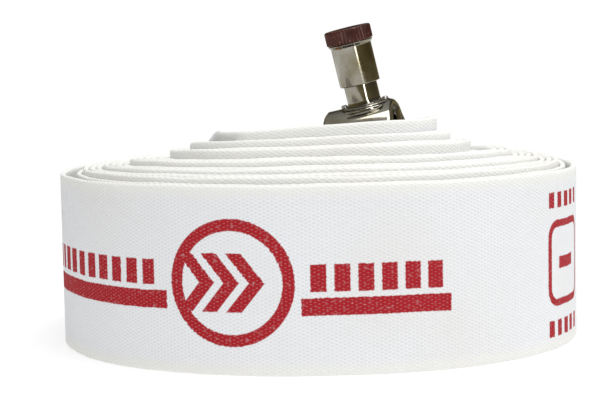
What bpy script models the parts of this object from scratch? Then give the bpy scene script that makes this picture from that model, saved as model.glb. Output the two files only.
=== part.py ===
"""A 63 mm lay-flat fire hose, about 15 m long, rolled up on edge with an instantaneous coupling on each end.

The female coupling is gripped upright in the middle of the roll, one spring latch up and one down, and the
inner turns ride higher than the outer ones. The male coupling lies on the ground behind the roll.
Blender units are metres and +Z is up. The numbers below are millimetres and MM converts them.
"""

import math

import bmesh
import bpy
import numpy as np
from mathutils import Matrix, Vector

MM = 0.001

# --- driving dimensions, in millimetres -------------------------------------------------------------
# Lay-flat hose: a woven jacket round a rubber lining. Radii are those of the round, open hose.
LINING_BORE_R = 31.9
LINING_WALL = 0.55
WALL_GAP = 0.3
JACKET_WALL = 0.7
SLIT = 0.2  # what stays between the lining's faces where the hose lies flat
JACKET_R = LINING_BORE_R + LINING_WALL + WALL_GAP + JACKET_WALL  # outer face
FLAT_WIDTH = 103.0
FLAT_THICK = SLIT + 2 * (LINING_WALL + WALL_GAP + JACKET_WALL)

# The roll, seen from above: a squarish oval that grows turn by turn. Turn k passes -X at k - 0.5, -Y at
# k - 0.25 and +X at k. The last turn hangs loose at -X.
ROLL_AT = Vector((0.9, -43.9, 0.1))
TURNS = 20
A_TURNS = (-0.5, 0, 18.5, 19, 19.3, 19.5, 19.7, 20, 20.2)
ROLL_A = (70.5, 73.0, 149.4, 151.4, 156.6, 159.2, 158.8, 157.4, 158.4)
# How high each turn's lower edge rides. The hose climbs down from one to the next at +Y.
LIFTS = (
    (0, 0, 24.7),
    (1, 2, 17.8),
    (3, 5, 13.4),
    (6, 11, 8.2),
    (12, 15, 5.0),
    (16, 18, 2.9),
    (19, 20, 0.0),
)
DIPS = ((6, 3.0), (7, 3.4), (8, 2.6))  # these turns sag this much near +X
TILT_TURNS = (-0.5, 0, 1, 2, 5, 11, 15, 19)
TILTS = (0.055, 0.055, 0.03, 0.024, 0.014, 0.008, 0.004, 0)  # rise per mm along +X
LEAN_TURNS = (0, 2, 5, 11, 15, 17, 18.3)
LEANS = (0.045, 0.05, 0.032, 0.026, 0.016, 0.008, 0)  # rise per mm along -Y
DEPTH_SHARE = (0.90, 0.96)  # the oval's depth over its width, first turn and last
SQUARENESS = (2.9, 2.15)  # exponent of the oval, first turn and last; 2 is an ellipse
STEPS_PER_TURN = 14
ROLL_START = -5 * math.tau / STEPS_PER_TURN
ROLL_END = math.radians(TURNS * 360 + 40)
OPENING_REACH = (44.0, 38.0)  # handles of the curve from the female tail to the roll
FLAT_BY = 0.62  # share of the way from the female tail to the roll
ROUND_SIDES = 12  # sides of the open hose near its couplings
# The jacket is one woven tube, made here in spans that meet face to face. The turns where one ends:
JACKET_CUTS = (*range(0, TURNS, 3), TURNS)

# Female coupling: its own X runs out of its mouth and its own Z up through the upper latch.
FEMALE_AT = ROLL_AT + Vector((38.6, -6.0, 98.9))
FEMALE_RISE = math.radians(12)
FEMALE_TURN = math.radians(-12)  # the mouth is turned towards -Y
FEMALE_LEAN = math.radians(5.5)  # the upper latch leans towards -Y
BODY_R = 40.0
BODY_BACK = -26.5
BODY_FRONT = 17.5
MOUTH_R = 33.4
SEAL_LOW = -15.6
SEAL_HIGH = -10.4
BOSS_TOP = 42.0
BOSS_R = 16.5
TAIL_SOCKET_R = 31.0
TAIL_SOCKET = 10.0  # how deep the tail enters a coupling body
TAIL_BORE_R = 26.0
TAIL_R = 30.4
TAIL_LENGTH = 37.0  # the barbed stretch that the hose is bound on
COLLAR = 2.6
FIT = 0.3  # clearance between pieces that touch
LATHE_SIDES = 24  # sides of the bodies, tails and what fits in them

# Male coupling: its own X runs out of its free end.
MALE_FLANGE_R = 41.0
MALE_FLANGE_HALF = 4.5
MALE_HUB = 8.0
SPIGOT_R = 33.0
SPIGOT_LENGTH = 28.6
MALE_AT = ROLL_AT + Vector((-52.0, 196.5, MALE_FLANGE_R + 0.3))
MALE_TURN = math.radians(180)

# Latch, measured outward from the coupling's axis. It slides outward by 7 mm to let go.
TOOTH_TIP = 30.7
TOOTH_TOP = 40.0
TOOTH_R = 6.0
SPINDLE_R = 3.0
HOUSING_BORE_R = 6.3
HOUSING_STUB_R = 9.0
HOUSING_FLANGE_TOP = 44.2
HOUSING_FLANGE_R = 15.6
HOUSING_R = 10.2
HOUSING_TOP = 62.0
GLAND_BOTTOM = 57.0
SLEEVE_BOTTOM = 56.0
SLEEVE_R = 12.45
SLEEVE_CEILING = 64.0
SLEEVE_TOP = 82.0
GRIP_R = 14.4
GRIP_TOP = 91.0
GRIP_FLUTES = 26
SPRING_R = 4.65
SPRING_WIRE_R = 0.5
SPRING_TURNS = 5
SCREW_OUT = 12.9  # screw axis from latch axis


# --- materials --------------------------------------------------------------------------------------
def material(name, colour, roughness, metallic=0.0):
    made = bpy.data.materials.new(name)
    made.use_nodes = True
    shader = made.node_tree.nodes["Principled BSDF"]
    shader.inputs["Base Color"].default_value = (*colour, 1.0)
    shader.inputs["Roughness"].default_value = roughness
    shader.inputs["Metallic"].default_value = metallic
    return made


def make_materials():
    return {
        "jacket": material("jacket_weave", (0.84, 0.84, 0.84), 0.9),
        "lining": material("lining_rubber", (0.03, 0.03, 0.032), 0.6),
        "plated": material("plated_metal", (0.55, 0.54, 0.5), 0.16, 1.0),
        "machined": material("machined_metal", (0.6, 0.6, 0.58), 0.3, 1.0),
        "grip": material("grip_enamel", (0.17, 0.035, 0.022), 0.42),
        "seal": material("seal_rubber", (0.02, 0.02, 0.02), 0.55),
        "wire": material("binding_wire", (0.72, 0.38, 0.2), 0.3, 1.0),
        "sleeve": material("binding_sleeve", (0.36, 0.3, 0.2), 0.9),
        "spring": material("spring_steel", (0.5, 0.5, 0.52), 0.3, 1.0),
    }


# --- frames and mesh helpers ------------------------------------------------------------------------
def empty(name, matrix, parent=None):
    made = bpy.data.objects.new(name, None)
    bpy.context.scene.collection.objects.link(made)
    made.parent = parent
    made.matrix_local = matrix
    return made


def add_mesh(name, bm, parent, surface, local=None, smooth=True):
    """Makes a named object from bm, which is in millimetres in its parent's frame or in that of local."""
    bmesh.ops.scale(bm, vec=(MM, MM, MM), verts=bm.verts)
    bmesh.ops.recalc_face_normals(bm, faces=bm.faces)
    mesh = bpy.data.meshes.new(name)
    bm.to_mesh(mesh)
    bm.free()
    made = bpy.data.objects.new(name, mesh)
    bpy.context.scene.collection.objects.link(made)
    made.parent = parent
    made.matrix_local = local or Matrix.Identity(4)
    if surface:
        mesh.materials.append(surface)
    if smooth:
        mesh.shade_smooth()
        mesh.set_sharp_from_angle(angle=math.radians(32))
    return made


def spun(profile, sides):
    """A bmesh turned about Z from a closed outline of (radius, height) points, in millimetres."""
    bm = bmesh.new()
    points = [bm.verts.new((radius, 0, height)) for radius, height in profile]
    edges = [bm.edges.new((points[i - 1], points[i])) for i in range(len(points))]
    bmesh.ops.spin(
        bm,
        geom=points + edges,
        axis=(0, 0, 1),
        cent=(0, 0, 0),
        steps=sides,
        angle=math.tau,
        use_merge=True,
    )
    bmesh.ops.remove_doubles(bm, verts=bm.verts, dist=1e-4)
    return bm


# Turning about a coupling's own X: the lathe's Z becomes X.
ALONG_X = Matrix.Rotation(math.radians(90), 4, "Y")


def turned(name, profile, parent, surface, sides=32, local=ALONG_X):
    return add_mesh(name, spun(profile, sides), parent, surface, local)


def helper(obj):
    """Marks an object as a cutter that isn't part of the hose."""
    obj.hide_render = True
    obj.display_type = "WIRE"
    return obj


def boolean(obj, operation, other):
    modifier = obj.modifiers.new(operation.lower(), "BOOLEAN")
    modifier.operation = operation
    modifier.object = helper(other)


def rod(radius, low, high):
    """The outline of a solid round bar between two heights."""
    return [(0, low), (radius, low), (radius, high), (0, high)]


def clear_of(radius, sides):
    """A bore's corner radius for its flat sides to clear a round of this radius."""
    return (radius + FIT) / math.cos(math.pi / sides)


def ring(inner, outer, low, high):
    return [(inner, low), (outer, low), (outer, high), (inner, high)]


# --- the hose's route -------------------------------------------------------------------------------
def blend(pair, share):
    return pair[0] + (pair[1] - pair[0]) * min(max(share, 0.0), 1.0)


def lift_table():
    """[(turn, lift)] along the roll: level past -X, -Y and +X, then a ramp at +Y."""
    sag = dict(DIPS)
    table = []
    for first, last, lift in LIFTS:
        for k in range(first, last + 1):
            low = lift - sag.get(k, 0.0)
            table += [(k - 0.62, lift), (k - 0.22, lift), (k - 0.06, low), (k + 0.1, low)]
    return np.array(table).T


LIFT_TABLE = lift_table()


def oval(turn):
    """The oval's half width and half depth, for the hose's centreline."""
    a = np.interp(turn, A_TURNS, ROLL_A) - FLAT_THICK / 2
    return a, a * blend(DEPTH_SHARE, (turn + 0.5) / (TURNS + 0.5))


def corner_reach(turn, power):
    return math.sqrt(math.prod(oval(turn))) * 2 ** (0.5 - 1 / power)


def squareness(turn):
    """The oval's exponent, such that its corners grow as evenly as its sides."""
    share = (turn - A_TURNS[0]) / (A_TURNS[2] - A_TURNS[0])
    if share >= 1:
        return SQUARENESS[1]
    ends = corner_reach(A_TURNS[0], SQUARENESS[0]), corner_reach(A_TURNS[2], SQUARENESS[1])
    return 1 / (0.5 - math.log2(blend(ends, share) / math.sqrt(math.prod(oval(turn)))))


def roll_point(angle):
    """The hose's centreline in the roll, at an angle counted on from turn to turn, in millimetres."""
    turn = angle / math.tau
    a, b = oval(turn)
    power = squareness(turn)
    reach = (abs(math.cos(angle) / a) ** power + abs(math.sin(angle) / b) ** power) ** (-1 / power)
    x, y = reach * math.cos(angle), reach * math.sin(angle)
    slant = np.interp(turn, TILT_TURNS, TILTS) * x - np.interp(turn, LEAN_TURNS, LEANS) * y
    return ROLL_AT + Vector((x, y, np.interp(turn, *LIFT_TABLE) + slant + FLAT_WIDTH / 2))


def bezier(start, start_handle, end_handle, end, count):
    """count points strictly between the ends of a cubic curve."""
    made = []
    for i in range(1, count + 1):
        t = i / (count + 1)
        made.append(
            start * (1 - t) ** 3
            + start_handle * 3 * t * (1 - t) ** 2
            + end_handle * 3 * t * t * (1 - t)
            + end * t**3
        )
    return made


def along(points):
    """Distance along a list of points, at each of them."""
    steps = [(b - a).length for a, b in zip(points, points[1:])]
    return [0.0, *np.cumsum(steps)]


def smooth_step(x):
    x = min(max(x, 0.0), 1.0)
    return x * x * (3 - 2 * x)


def tail_points(frame, near, far):
    """Two points on a coupling's axis where its hose tail begins and ends."""
    return [frame @ Vector((near, 0, 0)), frame @ Vector((far, 0, 0))]


def hose_route(female, male):
    """[(centre, openness, is_flat)] from one coupling to the other. Openness 1 is round and 0 is flat."""
    first = BODY_BACK - COLLAR - 2 * FIT
    near = tail_points(female, first, first - TAIL_LENGTH)
    step = math.tau / STEPS_PER_TURN
    # The hose comes in along the chord of the step before, to stay inside the next turn's flat facets.
    roll_start, before = roll_point(ROLL_START), roll_point(ROLL_START - step)
    heading = (roll_start - before).normalized()
    out = (near[1] - near[0]).normalized()
    near_reach, roll_reach = OPENING_REACH
    opening = bezier(near[1], near[1] + out * near_reach, roll_start - heading * roll_reach, roll_start, 9)

    first = -(MALE_FLANGE_HALF + MALE_HUB + COLLAR + 2 * FIT)
    far = tail_points(male, first - TAIL_LENGTH, first)
    roll_end, before = roll_point(ROLL_END), roll_point(ROLL_END - 0.02)
    heading = (roll_end - before).normalized()
    out = (far[1] - far[0]).normalized()
    closing = bezier(roll_end, roll_end + heading * 52, far[0] - out * 62, far[0], 9)

    route = [(p, 1.0, False) for p in near]
    spent = along([near[1], *opening, roll_start])
    route += [(p, 1 - smooth_step(d / spent[-1] / FLAT_BY), False) for p, d in zip(opening, spent[1:])]
    first, last = math.ceil(ROLL_START / step + 0.4), math.floor(ROLL_END / step - 0.4)
    turns = np.arange(first, last + 1) * step
    route += [(roll_point(angle), 0.0, True) for angle in [ROLL_START, *turns, ROLL_END]]
    spent = along([roll_end, *closing, far[0]])
    route += [(p, smooth_step(d / spent[-1]), False) for p, d in zip(closing, spent[1:])]
    return route + [(p, 1.0, False) for p in far]


def section(openness, is_flat, inset):
    """Points (across, up) of the hose's cross-section, inset from the jacket's outer face.

    The wall keeps its length as it flattens, so the shape is a slot with round ends: half_thick is their
    radius and straight the length between them. A flat stretch is a plain rectangle.
    """
    middle = JACKET_R - JACKET_WALL / 2
    flat_half = FLAT_THICK / 2 - JACKET_WALL / 2
    half_thick = flat_half + (middle - flat_half) * openness
    straight = math.pi * (middle - half_thick)
    radius = half_thick + JACKET_WALL / 2 - inset
    if is_flat:
        half_wide = FLAT_WIDTH / 2 - inset
        return [(radius, half_wide), (-radius, half_wide), (-radius, -half_wide), (radius, -half_wide)]
    points = []
    for i in range(ROUND_SIDES):
        angle = (i + 0.5) * math.tau / ROUND_SIDES
        shift = straight / 2 if i < ROUND_SIDES // 2 else -straight / 2
        points.append((radius * math.cos(angle), shift + radius * math.sin(angle)))
    return points


def hose_stations(route):
    """[(centre, forward, openness, is_flat)] for each point of the route."""
    centres = [p for p, _, _ in route]
    made = []
    for i, (centre, openness, is_flat) in enumerate(route):
        forward = (centres[min(i + 1, len(centres) - 1)] - centres[max(i - 1, 0)]).normalized()
        made.append((centre, forward, openness, is_flat))
    return made


def spans(stations, cuts):
    """The stations in runs that end at the given places in the list, with a gap of FIT between runs."""
    made = []
    for first, last in zip([0, *cuts], [*cuts, len(stations) - 1]):
        run = stations[first : last + 1]
        if first > 0:
            centre, forward, *rest = run[0]
            run[0] = (centre + forward * FIT / 2, forward, *rest)
        if last < len(stations) - 1:
            centre, forward, *rest = run[-1]
            run[-1] = (centre - forward * FIT / 2, forward, *rest)
        made.append(run)
    return made


def hose_loops(bm, stations, inset):
    """One loop of vertices for each station."""
    loops = []
    for centre, forward, openness, is_flat in stations:
        up = (Vector((0, 0, 1)) - forward * forward.z).normalized()
        side = forward.cross(up)
        points = section(openness, is_flat, inset)
        loops.append([bm.verts.new(centre + side * x + up * y) for x, y in points])
    return loops


def skin(bm, one, other):
    """Faces between two loops, either of which may have ROUND_SIDES points and the other only 4.

    Both flanks of the flat hose are split the same way, low to high, so that a twist keeps them apart.
    """
    if len(one) == len(other):
        for i in range(len(one)):
            goes_down = math.cos(i * math.tau / len(one)) < 0
            if goes_down:
                bm.faces.new((one[i - 1], one[i], other[i - 1]))
                bm.faces.new((one[i], other[i], other[i - 1]))
            else:
                bm.faces.new((one[i - 1], one[i], other[i]))
                bm.faces.new((one[i - 1], other[i], other[i - 1]))
        return
    many, few = (one, other) if len(one) > len(other) else (other, one)
    share = len(many) // len(few)
    for k, corner in enumerate(few):
        first = k * share
        for i in range(first, first + share - 1):
            bm.faces.new((many[i], many[i + 1], corner))
        last, after = many[first + share - 1], many[(first + share) % len(many)]
        next_corner = few[(k + 1) % len(few)]
        goes_down = math.cos((k + 1) * math.tau / len(few)) < 0
        if goes_down == (many is one):
            bm.faces.new((last, after, corner))
            bm.faces.new((after, next_corner, corner))
        else:
            bm.faces.new((last, after, next_corner))
            bm.faces.new((last, next_corner, corner))


def hose_wall(name, stations, outer_inset, inner_inset, surface):
    """One closed tube wall along the stations."""
    bm = bmesh.new()
    outer = hose_loops(bm, stations, outer_inset)
    inner = hose_loops(bm, stations, inner_inset)
    for loops in (outer, inner):
        for one, other in zip(loops, loops[1:]):
            skin(bm, one, other)
    for end in (0, -1):
        skin(bm, outer[end], inner[end])
    return add_mesh(name, bm, None, surface)


def make_hose(route, looks):
    stations = hose_stations(route)
    flat = [i for i, (_, _, is_flat) in enumerate(route) if is_flat]
    # The first flat station is at ROLL_START, and the next one at the first whole step after it.
    first_step = math.ceil(ROLL_START * STEPS_PER_TURN / math.tau + 0.4)
    cuts = [flat[1] + turn * STEPS_PER_TURN - first_step for turn in JACKET_CUTS]
    runs = spans(stations, cuts)
    names = ["inner_end", *(f"turns_{k}" for k in range(1, len(cuts))), "outer_end"]
    for name, run in zip(names, runs):
        hose_wall("jacket_" + name, run, 0.0, JACKET_WALL, looks["jacket"])
    lining = JACKET_WALL + WALL_GAP
    hose_wall("rubber_lining", stations, lining, lining + LINING_WALL, looks["lining"])


# --- what both couplings have -----------------------------------------------------------------------
def make_tail(name, parent, shoulder, looks):
    """The barbed tail and what binds the hose to it. shoulder is where the coupling body ends, on -X."""
    plug_r = TAIL_SOCKET_R - FIT
    collar = shoulder - FIT - COLLAR
    end = collar - TAIL_LENGTH
    barbs = 4
    pitch = TAIL_LENGTH / barbs
    profile = [(TAIL_BORE_R, end), (TAIL_R - 1.6, end)]
    for i in range(barbs):
        crest = end + (i + 0.8) * pitch
        profile += [(TAIL_R, crest), (TAIL_R - 1.6, crest + 0.8)]
    profile += [(TAIL_R - 1.6, collar), (JACKET_R + 1.2, collar), (JACKET_R + 1.2, shoulder - FIT)]
    groove = shoulder + TAIL_SOCKET / 2
    profile += [(plug_r, shoulder - FIT), (plug_r, groove - 1.1), (plug_r - 1.2, groove - 1.1)]
    profile += [(plug_r - 1.2, groove + 1.1), (plug_r, groove + 1.1)]
    profile += [(plug_r, shoulder + TAIL_SOCKET - FIT), (TAIL_BORE_R, shoulder + TAIL_SOCKET - FIT)]
    turned(name + "_tail", profile, parent, looks["plated"], LATHE_SIDES)
    lock = ring(plug_r - 0.9, TAIL_SOCKET_R + 0.7, groove - 0.8, groove + 0.8)
    turned(name + "_lock_ring", lock, parent, looks["spring"], LATHE_SIDES)

    inside = clear_of(JACKET_R, 24)
    low, high = end + 5, collar - 3
    guard = ring(inside, inside + 1.0, low, high)
    turned(name + "_hose_guard", guard, parent, looks["sleeve"], 24)
    wire_r, turns = 1.6, 6
    inside = clear_of(inside + 1.0, 18)
    start = (low + high) / 2 - turns * wire_r
    profile = [(inside, start)]
    for i in range(turns):
        centre = start + (2 * i + 1) * wire_r
        profile += [(inside + wire_r, centre - wire_r), (inside + 2 * wire_r, centre)]
    profile += [(inside + wire_r, start + 2 * turns * wire_r), (inside, start + 2 * turns * wire_r)]
    turned(name + "_wire_binding", profile, parent, looks["wire"], 18)


def tail_socket(shoulder):
    """Outline points of the socket in a coupling body for its tail, from the inside out to -X."""
    groove = shoulder + TAIL_SOCKET / 2
    return [
        (TAIL_BORE_R, shoulder + TAIL_SOCKET),
        (TAIL_SOCKET_R, shoulder + TAIL_SOCKET),
        (TAIL_SOCKET_R, groove + 1.1),
        (TAIL_SOCKET_R + 1.0, groove + 1.1),
        (TAIL_SOCKET_R + 1.0, groove - 1.1),
        (TAIL_SOCKET_R, groove - 1.1),
        (TAIL_SOCKET_R, shoulder),
    ]


# --- female coupling --------------------------------------------------------------------------------
def make_female(frame, looks):
    back, front = BODY_BACK, BODY_FRONT
    outside = [(BODY_R - 3, back), (BODY_R, back + 2.4), (BODY_R, front - 2.0), (BODY_R - 1.6, front)]
    body = turned("female_body", [(0, back), *outside, (0, front)], frame, looks["plated"], LATHE_SIDES)
    for side, angle in (("upper", 0), ("lower", 180)):
        flip = Matrix.Rotation(math.radians(angle), 4, "X")
        boss = turned(side + "_boss", rod(BOSS_R, 20, BOSS_TOP), frame, None, 20, flip)
        boolean(body, "UNION", boss)
    mouth = [
        (0, front + 1),
        (MOUTH_R + 3.4, front + 1),
        (MOUTH_R, front - 2.6),
        (MOUTH_R, SEAL_HIGH),
        (MOUTH_R + 3.0, SEAL_HIGH),
        (MOUTH_R + 3.0, SEAL_LOW),
        *tail_socket(back),
        (TAIL_SOCKET_R, back - 1),
        (0, back - 1),
    ]
    boolean(body, "DIFFERENCE", turned("mouth_cutter", mouth, frame, None, LATHE_SIDES))
    for side, angle in (("upper", 0), ("lower", 180)):
        flip = Matrix.Rotation(math.radians(angle), 4, "X")
        hole = turned(side + "_hole", rod(HOUSING_STUB_R + 0.3, 25, BOSS_TOP + 3), frame, None, 20, flip)
        boolean(body, "DIFFERENCE", hole)
        for sign in (-1, 1):
            place = flip @ Matrix.Translation(Vector((sign * SCREW_OUT, 0, 0)) * MM)
            pilot = rod(1.3, 37.2, BOSS_TOP + 2)
            boolean(body, "DIFFERENCE", turned(side + "_pilot", pilot, frame, None, 8, place))
    lip = [
        (MOUTH_R - 0.6, SEAL_LOW + 0.4),
        (MOUTH_R + 2.7, SEAL_LOW + 0.4),
        (MOUTH_R + 2.7, SEAL_HIGH - 0.4),
        (MOUTH_R + 0.6, SEAL_HIGH - 0.4),
        (MOUTH_R - 0.9, SEAL_HIGH - 1.6),
        (MOUTH_R + 0.9, SEAL_HIGH - 2.8),
    ]
    turned("female_seal", lip, frame, looks["seal"], LATHE_SIDES)
    make_tail("female", frame, back, looks)


def fluted_bar(radius, depth, flutes, low, high):
    """A solid round bar with ridges along it, chamfered at both ends."""
    bm = bmesh.new()
    chamfer = 0.9
    loops = []
    for height, shrink in ((low, chamfer), (low + chamfer, 0), (high - chamfer, 0), (high, chamfer)):
        loop = []
        for i in range(2 * flutes):
            reach = radius - shrink - (depth if i % 2 and not shrink else 0)
            angle = i * math.pi / flutes
            loop.append(bm.verts.new((reach * math.cos(angle), reach * math.sin(angle), height)))
        loops.append(loop)
    for one, other in zip(loops, loops[1:]):
        for i in range(2 * flutes):
            bm.faces.new((one[i - 1], one[i], other[i], other[i - 1]))
    bm.faces.new(loops[0])
    bm.faces.new(loops[-1])
    return bm


def make_spring(name, parent, surface, low, high):
    """A compression spring as a tube along a helix."""
    steps = 8
    count = SPRING_TURNS * steps + 1
    curve = bpy.data.curves.new(name, "CURVE")
    curve.dimensions = "3D"
    curve.bevel_depth = SPRING_WIRE_R * MM
    curve.bevel_resolution = 0
    curve.use_fill_caps = True
    spline = curve.splines.new("POLY")
    spline.points.add(count - 1)
    for i, point in enumerate(spline.points):
        angle = i * math.tau / steps
        height = low + (high - low) * i / (count - 1)
        at = Vector((SPRING_R * math.cos(angle), SPRING_R * math.sin(angle), height)) * MM
        point.co = (*at, 1)
    made = bpy.data.objects.new(name, curve)
    bpy.context.scene.collection.objects.link(made)
    made.parent = parent
    curve.materials.append(surface)


def make_latch(side, frame, angle, looks):
    """One spring latch. Its empty stands at the coupling's centre with Z along the latch."""
    axis = empty(side + "_latch_axis", Matrix.Rotation(math.radians(angle), 4, "X"), frame)
    name = side + "_latch_"

    def part(piece, profile, surface, sides=20):
        return turned(name + piece, profile, axis, looks[surface], sides, Matrix.Identity(4))

    # Fixed to the coupling body.
    foot = BOSS_TOP + 0.2
    housing = [
        (HOUSING_BORE_R, 34.8),
        (HOUSING_STUB_R, 34.8),
        (HOUSING_STUB_R, foot),
        (HOUSING_FLANGE_R, foot),
        (HOUSING_FLANGE_R, HOUSING_FLANGE_TOP - 0.6),
        (HOUSING_FLANGE_R - 0.8, HOUSING_FLANGE_TOP),
        (HOUSING_R + 1.2, HOUSING_FLANGE_TOP),
        (HOUSING_R + 0.3, HOUSING_FLANGE_TOP + 0.5),
        (HOUSING_R, HOUSING_FLANGE_TOP + 1.6),
        (HOUSING_R, HOUSING_TOP),
        (HOUSING_BORE_R, HOUSING_TOP),
    ]
    fixed = part("housing", housing, "plated")
    for sign in (-1, 1):
        place = Matrix.Translation(Vector((sign * SCREW_OUT, 0, 0)) * MM)
        hole = turned(name + "clearance", rod(1.3, foot - 1, HOUSING_FLANGE_TOP + 1), axis, None, 8, place)
        boolean(fixed, "DIFFERENCE", hole)
    part("gland", ring(SPINDLE_R + FIT, HOUSING_BORE_R - FIT, GLAND_BOTTOM, HOUSING_TOP), "machined", 20)
    screw_foot = HOUSING_FLANGE_TOP + 0.2
    screw = [(0, 37.8), (1.0, 37.8), (1.0, screw_foot), (2.1, screw_foot)]
    screw += [(1.7, screw_foot + 1.3), (0, screw_foot + 1.5)]
    for number, sign in ((1, -1), (2, 1)):
        place = Matrix.Translation(Vector((sign * SCREW_OUT, 0, 0)) * MM)
        turned(f"{name}screw_{number}", screw, axis, looks["machined"], 8, place)
    make_spring(name + "spring", axis, looks["spring"], TOOTH_TOP + 1.2, GLAND_BOTTOM - 1.2)

    # Slides outward together.
    plunger = [
        (0, TOOTH_TIP),
        (TOOTH_R - 2.6, TOOTH_TIP),
        (TOOTH_R, TOOTH_TIP + 3.2),
        (TOOTH_R, TOOTH_TOP),
        (SPINDLE_R, TOOTH_TOP),
        (SPINDLE_R, GRIP_TOP - 1.4),
        (0, GRIP_TOP - 1.4),
    ]
    part("plunger", plunger, "machined", 20)
    hole_r = SPINDLE_R + FIT
    pull = [
        (HOUSING_R + 0.5, SLEEVE_BOTTOM),
        (SLEEVE_R - 0.4, SLEEVE_BOTTOM),
        (SLEEVE_R, SLEEVE_BOTTOM + 0.4),
        (SLEEVE_R, SLEEVE_TOP - 2.0),
        (GRIP_R - 0.6, SLEEVE_TOP - 0.4),
        (GRIP_R - 0.6, SLEEVE_TOP),
        (hole_r, SLEEVE_TOP),
        (hole_r, SLEEVE_CEILING),
        (HOUSING_R + 0.5, SLEEVE_CEILING),
    ]
    part("pull_sleeve", pull, "plated")
    grip_bottom = SLEEVE_TOP + FIT
    grip = add_mesh(
        name + "grip_cap", fluted_bar(GRIP_R, 0.55, GRIP_FLUTES, grip_bottom, GRIP_TOP), axis, looks["grip"]
    )
    recess = [
        (0, grip_bottom - 1),
        (hole_r, grip_bottom - 1),
        (hole_r, GRIP_TOP - 4.2),
        (8.0, GRIP_TOP - 4.2),
        (8.0, GRIP_TOP + 1),
        (0, GRIP_TOP + 1),
    ]
    boolean(grip, "DIFFERENCE", turned(name + "recess", recess, axis, None, 20, Matrix.Identity(4)))
    nut = ring(clear_of(SPINDLE_R, 6), 6.2, GRIP_TOP - 4.2 + FIT, GRIP_TOP - 0.8)
    part("lock_nut", nut, "machined", 6)


# --- male coupling ----------------------------------------------------------------------------------
def make_male(frame, looks):
    half, shoulder = MALE_FLANGE_HALF, -(MALE_FLANGE_HALF + MALE_HUB)
    end = half + SPIGOT_LENGTH
    groove_low, groove_high = end - 18.0, end - 3.6  # where the latch teeth sit behind the rim
    profile = [
        *tail_socket(shoulder),
        (BODY_R - 3.2, shoulder),
        (BODY_R - 2.2, shoulder + 1.0),
        (BODY_R - 2.2, -half),
        (MALE_FLANGE_R - 1.0, -half),
        (MALE_FLANGE_R, -half + 1.0),
        (MALE_FLANGE_R, half - 1.0),
        (MALE_FLANGE_R - 1.0, half),
        (SPIGOT_R, half),
        (SPIGOT_R, groove_low),
        (SPIGOT_R - 2.6, groove_low + 0.6),
        (SPIGOT_R - 2.6, groove_high),
        (SPIGOT_R, groove_high),
        (SPIGOT_R, end - 3.0),
        (SPIGOT_R - 2.4, end),
        (TAIL_BORE_R, end),
    ]
    turned("male_body", profile, frame, looks["plated"], LATHE_SIDES)
    make_tail("male", frame, shoulder, looks)


def coupling_frames():
    female = (
        Matrix.Translation(FEMALE_AT)
        @ Matrix.Rotation(FEMALE_TURN, 4, "Z")
        @ Matrix.Rotation(-FEMALE_RISE, 4, "Y")
        @ Matrix.Rotation(FEMALE_LEAN, 4, "X")
    )
    male = Matrix.Translation(MALE_AT) @ Matrix.Rotation(MALE_TURN, 4, "Z")
    return female, male


def in_metres(matrix):
    made = matrix.copy()
    made.translation = matrix.translation * MM
    return made


def main():
    for obj in list(bpy.data.objects):
        bpy.data.objects.remove(obj)
    looks = make_materials()
    female, male = coupling_frames()
    make_hose(hose_route(female, male), looks)
    female_frame = empty("female_coupling", in_metres(female))
    make_female(female_frame, looks)
    make_latch("upper", female_frame, 0, looks)
    make_latch("lower", female_frame, 180, looks)
    make_male(empty("male_coupling", in_metres(male)), looks)


main()
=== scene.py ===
"""Looks of the rolled fire hose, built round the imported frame."""

import math

import bmesh
import bpy
import numpy as np
from mathutils import Matrix, Vector


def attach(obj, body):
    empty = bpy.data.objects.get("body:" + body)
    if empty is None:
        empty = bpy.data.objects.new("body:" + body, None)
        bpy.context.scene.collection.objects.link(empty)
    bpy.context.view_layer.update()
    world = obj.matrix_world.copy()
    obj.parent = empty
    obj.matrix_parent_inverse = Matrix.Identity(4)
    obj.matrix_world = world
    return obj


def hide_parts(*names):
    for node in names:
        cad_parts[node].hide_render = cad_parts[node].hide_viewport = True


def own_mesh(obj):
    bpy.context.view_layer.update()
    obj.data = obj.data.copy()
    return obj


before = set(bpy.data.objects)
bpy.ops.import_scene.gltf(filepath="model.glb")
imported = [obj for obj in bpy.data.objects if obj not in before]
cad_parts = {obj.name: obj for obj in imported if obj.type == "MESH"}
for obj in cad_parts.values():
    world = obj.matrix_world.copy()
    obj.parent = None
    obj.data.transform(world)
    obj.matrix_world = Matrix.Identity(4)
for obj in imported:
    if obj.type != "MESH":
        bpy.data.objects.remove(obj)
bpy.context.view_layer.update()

MM = 0.001
ROOT, UPPER, LOWER = "hose_and_couplings", "upper_latch", "lower_latch"

# --- dimensions, in millimetres, as in the CAD model --------------------------------------------------
LINING_BORE_R, LINING_WALL, WALL_GAP, JACKET_WALL, SLIT = 31.9, 0.55, 0.3, 0.7, 0.2
JACKET_R = LINING_BORE_R + LINING_WALL + WALL_GAP + JACKET_WALL
FLAT_WIDTH = 103.0
FLAT_THICK = SLIT + 2 * (LINING_WALL + WALL_GAP + JACKET_WALL)

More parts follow.
